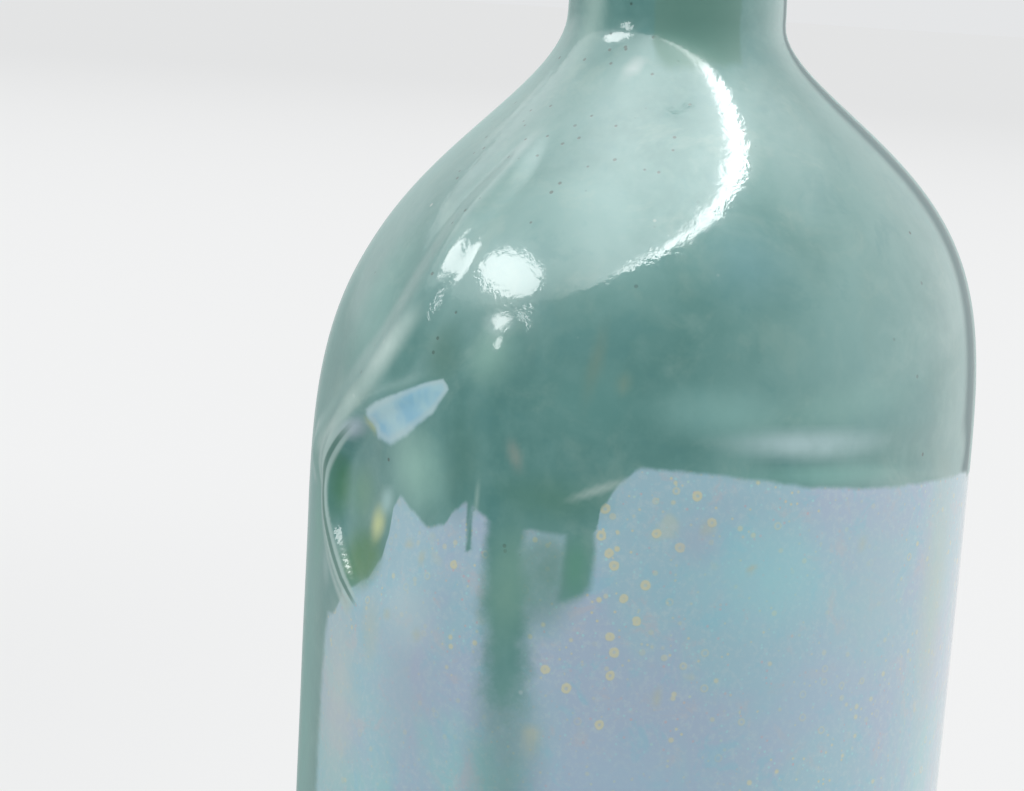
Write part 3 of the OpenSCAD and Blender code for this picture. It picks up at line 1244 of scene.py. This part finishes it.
DABS: tuple[Dab, ...] = (
    # the left flank, the soft ridge with its painted highlight, the neck with painted light and a
    # darker front, and the strip down the left side
    Dab((-66, 12), (6, 12), (0.34, 0.54, 0.49), 0.4, -20),
    Dab((-58, 26), (8, 14), (0.22, 0.52, 0.46), 0.6),
    # painted highlight: three pale dabs along the crest of the soft ridge
    Dab((-48.5, 21.5), (2.6, 10), (0.62, 0.82, 0.76), 0.9, -34),
    Dab((-57, 14.5), (2.2, 6.5), (0.60, 0.80, 0.74), 0.8, -46),
    Dab((-65, 9.5), (2.0, 5), (0.56, 0.76, 0.70), 0.6, -58),
    # painted light: the neck's left side made paler
    Dab((-48, 67), (9, 15), (0.38, 0.60, 0.54), 0.85),
    # the front of the neck made somewhat darker round its patch
    Dab((14, 70), (9, 12), (0.15, 0.33, 0.28), 0.5),
    # painted highlight: a soft pale blob at the front of the neck's root
    Dab((-17, 56.8), (4.6, 1.5), (0.80, 0.88, 0.86), 0.5, 8),
    Dab((-76, -32), (9, 44), (0.18, 0.58, 0.50), 0.7),
    Dab((-69, -1), (4, 11), (0.09, 0.42, 0.29), 0.75),
    # inside the pocket, beginning with painted shade low in its hollow
    Dab((-53.5, -4.2), (4.4, 5.4), POCKET_SHADE, 1.0, 20),
    Dab((-50.5, -3.5), (3.8, 5), POCKET_SHADE, 0.9),
    Dab((-61, 4), (2.4, 6), POCKET_SHADE, 0.65),
    Dab((-55, 3.5), (4.5, 5), (0.17, 0.40, 0.27), 0.8),
    Dab((-39.5, 8.5), (7, 7), (0.32, 0.60, 0.51), 0.85),
    Dab((-49.4, 0.6), (2.3, 3.2), (0.68, 0.78, 0.38), 1.0, -18),
    Dab((-47.2, 3.6), (2.0, 2.6), (0.42, 0.68, 0.66), 0.9, -18),
    Dab((-51.8, 12.4), (1.2, 1.6), (0.50, 0.62, 0.34), 0.9),
    # the flap's lilac tail, a painted reflection as on the flap
    Dab((-56.5, 11.4), (4.2, 1.5), (0.52, 0.64, 0.74), 0.95, 28),
    Dab((-63.5, -6.8), (1.6, 3.4), (0.36, 0.56, 0.54), 0.7, 12),
    Dab((-54.5, -9.6), (2.4, 1.2), (0.44, 0.64, 0.58), 0.8),
    # the bump, painted shade in the dent beside the ridge and in the sag, and what lies above the
    # runs
    Dab((-26.5, 23), (5, 4.5), (0.32, 0.58, 0.50), 0.8, 40),
    # painted shade: dark in the dent beside the ridge
    Dab((-36, 22.5), (4, 5), (0.08, 0.25, 0.20), 0.7),
    # painted dark reflection of the dim room in the sag
    Dab((-30, 10), (4, 9), (0.10, 0.27, 0.22), 0.5),
    Dab((-8.5, 23), (1.4, 7), (0.22, 0.31, 0.22), 0.5, -8),
    Dab((-3.5, 21.5), (1.2, 2.0), (0.30, 0.40, 0.28), 0.6),
    Dab((-20.3, 12), (1.3, 3), (0.38, 0.42, 0.36), 0.6, 25),
    # painted dark reflection: a dark band across the sag above the runs
    Dab((-14, 7.5), (10, 4), (0.10, 0.28, 0.20), 0.6),
    Dab((-6, 9.2), (5.5, 0.8), (0.46, 0.62, 0.57), 0.85, 24),
    Dab((-26.6, 6.5), (0.5, 3.2), (0.40, 0.60, 0.54), 0.7, 3),
    # film beside the wide run, the runs themselves, and the patina's larger clouds
    Dab((-14.5, -2.0), (6.5, 9.0), (0.15, 0.36, 0.31), 0.85),
    Dab((-13.5, -1.0), (4.2, 6.5), (0.18, 0.37, 0.33), 0.9, -8),
    Dab((-20, -3), (4, 10), AQUA, 0.9),
    Dab((-8.5, 0), (2.4, 5), (0.13, 0.38, 0.26), 0.75),
    Dab((-18.5, -24), (7, 15), FILM, 0.75),
    Dab((22, 0), (13, 10), SKY, 0.75),
    Dab((30, -14), (16, 10), (0.40, 0.60, 0.72), 0.6),
    Dab((44, -3), (9, 16), (0.42, 0.64, 0.70), 0.6),
    Dab((-38, -18), (8, 14), MAUVE, 0.6),
    Dab((-38, -9), (6, 6), (0.56, 0.72, 0.76), 0.65),
    Dab((-56, -22), (7, 16), (0.60, 0.70, 0.68), 0.75),
    Dab((-47, -12), (2.5, 6), (0.54, 0.60, 0.50), 0.5),
    Dab((2, -26), (14, 9), (0.42, 0.61, 0.75), 0.7),
    Dab((62, -4), (6, 22), (0.50, 0.64, 0.56), 0.7),
    Dab((10, 4), (4, 4), MAUVE, 0.5),
    # faint straw-coloured blotches
    Dab((-39.8, -0.6), (1.3, 0.8), STRAW, 0.6),
    Dab((-36.5, -1.8), (0.8, 1.3), STRAW, 0.6),
    Dab((-43, -9.5), (1.0, 1.0), STRAW, 0.5),
    Dab((-36, -11), (1.1, 1.1), STRAW, 0.5),
    Dab((11.5, 5.6), (1.2, 1.4), STRAW, 0.5),
    Dab((19.5, 1.0), (0.8, 0.8), STRAW, 0.7),
    Dab((40, 3.5), (0.8, 1.4), STRAW, 0.4),
    Dab((5.5, -14.5), (0.9, 1.8), STRAW, 0.5),
    Dab((-14, -20), (1.8, 1.2), STRAW, 0.6),
    Dab((20, -22), (1.0, 2.0), STRAW, 0.5),
    # pale lens above the waist, a painted highlight, with the greens round it
    # painted highlight: the pale lens itself
    Dab((28, 15.6), (15, 2.6), (0.58, 0.80, 0.82), 0.8),
    Dab((34, 20), (16, 3.5), (0.28, 0.55, 0.48), 0.5, 10),
    Dab((16, 36), (9, 7), (0.22, 0.48, 0.50), 0.6),
    Dab((-8, 19), (9, 6), (0.15, 0.39, 0.36), 0.5),
    Dab((12, 19), (11, 4.5), (0.30, 0.58, 0.54), 0.7),
    Dab((32, 11.8), (16, 1.8), (0.20, 0.50, 0.44), 0.7),
    Dab((40, 24), (18, 14), (0.22, 0.47, 0.45), 0.5),
)


@dataclass
class AppliedLip:
    """Collar and ring of glass laid round the sheared neck."""

    form: BlownForm
    finish: LipGlass
    collar_h: float = 13.0
    collar_top: float = 2.1
    collar_foot: float = 3.3
    ring_h: float = 3.6
    ring_out: float = 2.7
    groove_depth: float = 1.0
    lip_round: float = 1.1

    def profile(self) -> list[Point]:
        """Return the lip's section as a closed loop."""
        f = self.form
        foot_z = f.mouth_z - self.collar_h
        ring_top = foot_z - self.groove_depth
        bulge = self.ring_h / 2
        q = self.lip_round
        points = [(f.neck_r, ring_top - self.ring_h)]
        ring_r = f.neck_r + self.ring_out - bulge
        points += quarter_round((ring_r, ring_top - bulge), bulge, -90, 90, 14)
        points.append((ring_r - 0.2, foot_z))
        points += quarter_round((f.neck_r + self.collar_foot - q, foot_z + q), q, -90, 0)
        points += quarter_round((f.neck_r + self.collar_top - q, f.mouth_z - q), q, 0, 90)
        points += quarter_round((f.bore_at(f.mouth_z) + q, f.mouth_z - q), q, 90, 180)
        points += [(f.bore_at(f.neck_top), f.neck_top), (f.neck_r, f.neck_top)]
        points.append(points[0])
        return points

    def build(self) -> bpy.types.Object:
        """Make the lip and seat it on its body.

        Returns:
            The finished piece.
        """
        bm = turned(self.profile(), 144)
        bmesh.ops.translate(bm, verts=bm.verts, vec=(self.form.neck_shift * MM, 0, 0))
        piece = finish_piece(bm, "lip_glass", self.finish.material())
        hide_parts("applied_lip")
        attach(piece, Body.BOTTLE.value)
        return piece


@dataclass
class CorkStopper:
    """Tapered cork, seated in the bore."""

    form: BlownForm
    finish: AgedCork
    chamfer: float = 0.8

    def profile(self) -> list[Point]:
        """Return the cork's section."""
        f = self.form
        low, high = f.cork_foot_z, f.mouth_z + f.cork_proud
        c = self.chamfer
        foot, head = f.bore_at(low + c) - f.cork_clearance, f.bore_at(high - c) - f.cork_clearance
        points = [(r, low) for r in spread(0, foot - c, 1.6)]
        rows = 14
        for i in range(rows + 1):
            z = low + c + (high - low - 2 * c) * i / rows
            points.append((foot + (head - foot) * i / rows, z))
        points += [(r, high) for r in spread(head - c, 0, 1.6)]
        return points

    def build(self) -> bpy.types.Object:
        """Make the cork and seat it on its body.

        Returns:
            The finished piece.
        """
        bm = turned(self.profile(), 96)
        bmesh.ops.translate(bm, verts=bm.verts, vec=(self.form.neck_shift * MM, 0, 0))
        piece = finish_piece(bm, "cork_stopper", self.finish.material())
        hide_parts("cork")
        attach(piece, Body.STOPPER.value)
        return piece


# --------------------------------------------------------------------------- the studio


@dataclass
class Studio:
    """Pale table, soft light overhead, dim room in front and the camera."""

    form: BlownForm
    lens: float = 100.0
    distance: float = 366.0
    elevation: float = 8.0
    yaw: float = 2.651
    roll: float = 3.701
    aim_rise: float = 13.608
    disc_place: Place = (-0.455, 0.065, 0.665)
    disc_radius: float = 0.62
    disc_margin: float = 0.4
    table_radius: float = 60.0
    table: Colour = (0.80, 0.81, 0.81)
    ambient: Colour = (0.84, 0.85, 0.86)
    backdrop: Colour = (0.78, 0.79, 0.80)

    def camera(self) -> None:
        """Stand the camera and make it the scene's."""
        e, yaw, roll = (math.radians(a) for a in (self.elevation, self.yaw, self.roll))
        aim_z = self.form.body_h + self.aim_rise
        place = Vector((0, -self.distance * math.cos(e), aim_z + self.distance * math.sin(e))) * MM
        ahead = Matrix.Rotation(yaw, 3, "Z") @ Vector((0, math.cos(e), -math.sin(e)))
        right = ahead.cross(Vector((0, 0, 1))).normalized()
        up = right.cross(ahead)
        across = right * math.cos(roll) + up * math.sin(roll)
        upward = up * math.cos(roll) - right * math.sin(roll)
        camera = bpy.data.objects.new("camera", bpy.data.cameras.new("camera"))
        camera.data.lens = self.lens
        camera.data.sensor_width = 36
        camera.data.clip_start = 0.01
        turn = Matrix((across, upward, -ahead)).transposed().to_4x4()
        camera.matrix_world = Matrix.Translation(place) @ turn
        bpy.context.collection.objects.link(camera)
        bpy.context.scene.camera = camera

    def room(self) -> bpy.types.NodeTree:
        """Build the group that tells how the room looks in a mirror.

        Returns:
            A group that gives the colour seen in a direction.
        """
        inputs = {"Toward": VECTOR, "Side": VALUE}
        tree, w, given, out = new_group("room_mirrored", {"Color": COLOUR}, inputs)
        x, y, z = w.split(given.outputs["Toward"])
        bright = w.ramp(w.plus(y, w.times(x, 0.35)), -0.9, 0.1, 0.05, 0.87)
        low_down = w.ramp(z, 0.12, 0.0, 0.12, 0.5)
        corner = w.times(w.ramp(x, -0.2, -0.5), w.ramp(y, 0.0, 0.3), low_down)
        side = w.times(w.ramp(x, 0.3, 1.0), w.ramp(y, -0.6, 0.2), given.outputs["Side"])
        bright = w.plus(w.times(bright, w.minus(1.0, corner)), side)
        grey = w.feed(w.node("CombineColor"), dict.fromkeys(range(3), bright))
        w.feed(out, {"Color": grey.outputs[0]})
        return tree

    def world(self) -> None:
        """Make the room: pale behind and at the right, dim in front at the left."""
        world = bpy.data.worlds.new("room")
        bpy.context.scene.world = world
        world.use_nodes = True
        w = Wiring(world.node_tree)
        path = w.node("LightPath").outputs
        room = w.node("Group", node_tree=self.room())
        w.feed(room, {"Toward": w.node("TexCoord").outputs["Generated"], "Side": 0.6})
        lit = (path["Is Diffuse Ray"], self.ambient)
        seen = (path["Is Camera Ray"], self.backdrop)
        colour = w.lay(room.outputs["Color"], lit, seen)
        w.feed(world.node_tree.nodes["Background"], {"Color": colour, "Strength": 1.0})

    def floor(self) -> None:
        """Lay the pale table, which keeps the bottle's shadow."""
        material, w, shader = new_material("pale_table")
        material.node_tree.nodes.remove(shader)
        place = w.here()
        x, y, _ = w.split(place)
        path = w.node("LightPath").outputs
        mirrored = path["Is Glossy Ray"]
        # painted light on the table as the camera sees it: brighter near, dimmer far off, and a
        # painted shade at the front-left
        seen = w.ramp(y, 1.0, 6.5, 1.01, 0.83)
        seen = w.minus(seen, w.times(w.ramp(x, 0.0, -0.2), w.ramp(y, 0.8, 0.35, 0.0, 0.07)))
        toward = w.feed(w.node("VectorMath", operation="NORMALIZE"), {0: place}).outputs[0]
        room = w.node("Group", node_tree=bpy.data.node_groups["room_mirrored"])
        w.feed(room, {"Toward": toward, "Side": 0.25})
        matt = w.feed(w.node("BsdfDiffuse"), {"Color": self.table})
        colour = w.mix(mirrored, WHITE, room.outputs["Color"])
        glow = w.feed(w.node("Emission"), {"Color": colour, "Strength": w.larger(seen, mirrored)})
        plainly = w.times(w.larger(path["Is Camera Ray"], path["Is Transmission Ray"]), 0.6)
        shares = {0: w.larger(plainly, mirrored), 1: matt.outputs[0], 2: glow.outputs[0]}
        blend = w.feed(w.node("MixShader"), shares)
        w.feed(material.node_tree.nodes["Material Output"], {"Surface": blend.outputs[0]})
        disc("table", self.table_radius, (0, 0, 0), material)

    def lamp(
        self,
        name: str,
        place: Place,
        size: Point,
        radiance: float,
        mirrored_only: bool = False,
    ) -> bpy.types.Object:
        """Hang a soft lamp that looks at the shoulder.

        Args:
            name: Its name.
            place: Where it hangs, in metres.
            size: Its width and depth, in metres.
            radiance: How bright its face is, where 1 is white.
            mirrored_only: Whether it shows only as a reflection and lights nothing.

        Returns:
            The lamp.
        """
        light = bpy.data.lights.new(name, "AREA")
        light.shape = "ELLIPSE"
        light.size, light.size_y = size
        light.energy = radiance * math.pi**2 * size[0] * size[1] / 4
        lamp = bpy.data.objects.new(name, light)
        lamp.location = place
        aim = Vector((0, 0, (self.form.body_h + 25) * MM)) - lamp.location
        lamp.rotation_euler = aim.to_track_quat("-Z", "Y").to_euler()
        lamp.visible_diffuse = lamp.visible_transmission = not mirrored_only
        bpy.context.collection.objects.link(lamp)
        return lamp

    def overhead(self) -> None:
        """Hang the round light: dimmer at the left, a bright rim at the right, a glow beyond."""
        material, w, shader = new_material("soft_light")
        material.node_tree.nodes.remove(shader)
        where = w.here()
        x, y, _ = w.split(where)
        radius, (at_x, at_y, at_z) = self.disc_radius, self.disc_place
        from_middle = w.distance(where, [self.disc_place])
        from_rim = w.distance(where, [(at_x - 0.062, at_y - 0.004, at_z)])
        inside = w.ramp(from_middle, radius, radius - 0.015)
        face = w.ramp(w.minus(x, w.times(y, 0.3)), -0.42, -0.10, 0.75, 3.0)
        rim = w.ramp(from_rim, radius - 0.005, radius + 0.025, 0.0, 10.0)
        beyond = w.ramp(w.plus(x, y), 0.12, 0.40, 0.0, 1.3)
        beyond = w.times(w.ramp(from_middle, radius + 0.32, radius), beyond)
        strength = w.times(w.plus(face, rim), inside)
        strength = w.plus(strength, w.times(beyond, w.minus(1.0, inside)))
        glow = w.feed(w.node("Emission"), {"Strength": strength})
        clear = w.node("BsdfTransparent")
        both = w.feed(w.node("AddShader"), {0: glow.outputs[0], 1: clear.outputs[0]})
        w.feed(material.node_tree.nodes["Material Output"], {"Surface": both.outputs[0]})
        card = disc("soft_light", radius + self.disc_margin, self.disc_place, material)
        for name in ("camera", "diffuse", "shadow", "transmission", "volume_scatter"):
            setattr(card, "visible_" + name, False)

    def lights(self) -> None:
        """Hang the overhead light, the window at the left and the soft key."""
        self.overhead()
        self.lamp("left_window", (-0.7, -0.27, 0.725), (0.44, 0.19), 7.0, mirrored_only=True)
        self.lamp("lower_pane", (-0.7, -0.52, 0.52), (0.13, 0.22), 6.0, mirrored_only=True)
        key = self.lamp("soft_key", (-0.7, -0.6, 1.0), (0.8, 0.8), 0.9)
        key.visible_glossy = False

    def build(self) -> None:
        """Make the whole studio."""
        self.camera()
        self.world()
        self.floor()
        self.lights()
        bpy.context.scene.view_settings.view_transform = "Standard"


def main() -> None:
    """Build the bottle and its studio in order, and report each piece."""
    logging.basicConfig(level=logging.INFO, format="%(name)s: %(message)s")
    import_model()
    form = BlownForm()
    Studio(form).build()
    slump = Slump(form)
    vessel = Vessel(form, slump, AgedGlass(slump))
    for maker in (vessel, AppliedLip(form, LipGlass()), CorkStopper(form, AgedCork())):
        piece = maker.build()
        LOG.info("%s: %d faces", piece.name, len(piece.data.polygons))
    bpy.context.view_layer.update()


if __name__ == "__main__":
    main()
